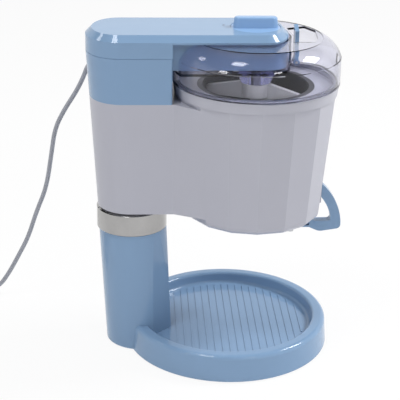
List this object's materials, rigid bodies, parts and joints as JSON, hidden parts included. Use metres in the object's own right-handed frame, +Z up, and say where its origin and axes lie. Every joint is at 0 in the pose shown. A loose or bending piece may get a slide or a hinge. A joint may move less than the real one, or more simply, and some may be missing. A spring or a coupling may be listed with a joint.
{
  "type": "soft-serve ice cream maker",
  "caption": "Table-top soft-serve ice cream maker: freezing bowl in a barrel under a clear lid, motor arm with a knob, column on a round drip tray, and a pull lever at the outlet.",
  "frame": {"origin": "centre of the round drip tray on the table, in the plane of the feet", "axes": "+Z up, +X forwards from the column to the dispensing lever, +Y across to the side of the cord"},
  "size_m": [0.4922, 0.22, 0.3605],
  "materials": {
    "sky_blue_plastic": "gloss moulded",
    "pale_grey_plastic": "gloss moulded",
    "white_plastic": "satin moulded",
    "dark_rubber": "matt",
    "screw_steel": "zinc plated",
    "chrome_trim": "polished",
    "pale_silicone": "matt",
    "bowl_aluminium": "anodised",
    "coolant": "frozen gel",
    "motor_metal": "zinc plated",
    "gear_nylon": "natural nylon",
    "bush_brass": "turned",
    "dark_plastic": "matt",
    "clear_lid": "clear tinted plastic",
    "cord_grey": "satin vinyl",
    "pin_brass": "nickel washed"
  },
  "bodies": {
    "stand": {"base_tray": "sky_blue_plastic", "rubber_feet": "dark_rubber", "foot_screws": "screw_steel", "stand_column": "sky_blue_plastic", "chrome_ring": "chrome_trim", "neck_screws": "screw_steel", "main_housing": "pale_grey_plastic", "outlet_body": "white_plastic", "outlet_screws": "screw_steel", "outlet_nozzle": "white_plastic", "outlet_seal": "pale_silicone", "lever_pin": "screw_steel", "power_cord": "cord_grey", "cord_coil": "cord_grey", "cord_tie": "dark_plastic", "plug_body": "cord_grey", "plug_pins": "pin_brass"},
    "lever": {"dispense_lever": "sky_blue_plastic"},
    "gate": {"outlet_gate": "sky_blue_plastic"},
    "head": {"head_lower": "sky_blue_plastic", "head_cover": "sky_blue_plastic", "head_screws": "screw_steel", "drive_motor": "motor_metal", "motor_screws": "screw_steel", "idler_axles": "screw_steel", "spindle_bush": "bush_brass", "switch_body": "dark_plastic", "strain_relief": "cord_grey"},
    "motor_rotor": {"motor_pinion": "gear_nylon"},
    "idler_1": {"idler_gear_1": "gear_nylon"},
    "idler_2": {"idler_gear_2": "gear_nylon"},
    "spindle": {"output_gear": "gear_nylon", "spindle_shaft": "screw_steel", "spindle_clip": "screw_steel"},
    "knob": {"switch_knob": "sky_blue_plastic"},
    "lid": {"lid": "clear_lid", "latch_pin": "screw_steel"},
    "latch": {"lid_latch": "sky_blue_plastic"},
    "bowl": {"bowl_shell": "pale_grey_plastic", "bowl_liner": "bowl_aluminium", "coolant_gel": "coolant"},
    "paddle": {"paddle": "white_plastic"}
  },
  "joints": [
    {"name": "head_lift", "type": "slide", "parent": "stand", "child": "head", "axis": [0, 0, 1], "range_m": [0, 0.3]},
    {"name": "lid_lift", "type": "slide", "parent": "stand", "child": "lid", "axis": [0, 0, 1], "range_m": [0, 0.211]},
    {"name": "bowl_lift", "type": "slide", "parent": "stand", "child": "bowl", "axis": [0, 0, 1], "range_m": [0, 0.151]},
    {"name": "spindle_spin", "type": "hinge", "parent": "head", "child": "spindle", "pos_m": [0.024, 0, 0.32], "axis": [0, 0, 1], "continuous": true},
    {"name": "idler_2_spin", "type": "hinge", "parent": "head", "child": "idler_2", "pos_m": [-0.022, 0, 0.32], "axis": [0, 0, 1], "continuous": true},
    {"name": "idler_1_spin", "type": "hinge", "parent": "head", "child": "idler_1", "pos_m": [-0.066, 0, 0.32], "axis": [0, 0, 1], "continuous": true},
    {"name": "motor_spin", "type": "hinge", "parent": "head", "child": "motor_rotor", "pos_m": [-0.104, 0, 0.32], "axis": [0, 0, 1], "continuous": true},
    {"name": "paddle_spin", "type": "hinge", "parent": "bowl", "child": "paddle", "pos_m": [0.024, 0, 0.285], "axis": [0, 0, 1], "continuous": true},
    {"name": "knob_turn", "type": "hinge", "parent": "head", "child": "knob", "pos_m": [0.022, 0, 0.35], "axis": [0, 0, 1], "range_deg": [0, 90]},
    {"name": "lever_pull", "type": "hinge", "parent": "stand", "child": "lever", "pos_m": [0.0905, 0, 0.173], "axis": [0, -1, 0], "range_deg": [0, 24]},
    {"name": "gate_slide", "type": "slide", "parent": "stand", "child": "gate", "axis": [1, 0, 0], "range_m": [0, 0.0148]},
    {"name": "latch_tilt", "type": "hinge", "parent": "lid", "child": "latch", "pos_m": [0.064, 0, 0.316], "axis": [0, 1, 0], "range_deg": [0, 8], "stiffness_Nm_per_rad": 0.05}
  ],
  "couplings": [
    {"joint": "lid_lift", "follows": "head_lift", "ratio": 0.7},
    {"joint": "bowl_lift", "follows": "head_lift", "ratio": 0.5},
    {"joint": "spindle_spin", "follows": "paddle_spin", "ratio": 1},
    {"joint": "idler_2_spin", "follows": "paddle_spin", "ratio": -1.0909},
    {"joint": "idler_1_spin", "follows": "paddle_spin", "ratio": 1.0909},
    {"joint": "motor_spin", "follows": "paddle_spin", "ratio": -1.5},
    {"joint": "gate_slide", "follows": "lever_pull", "m_per_rad": 0.035145}
  ]
}
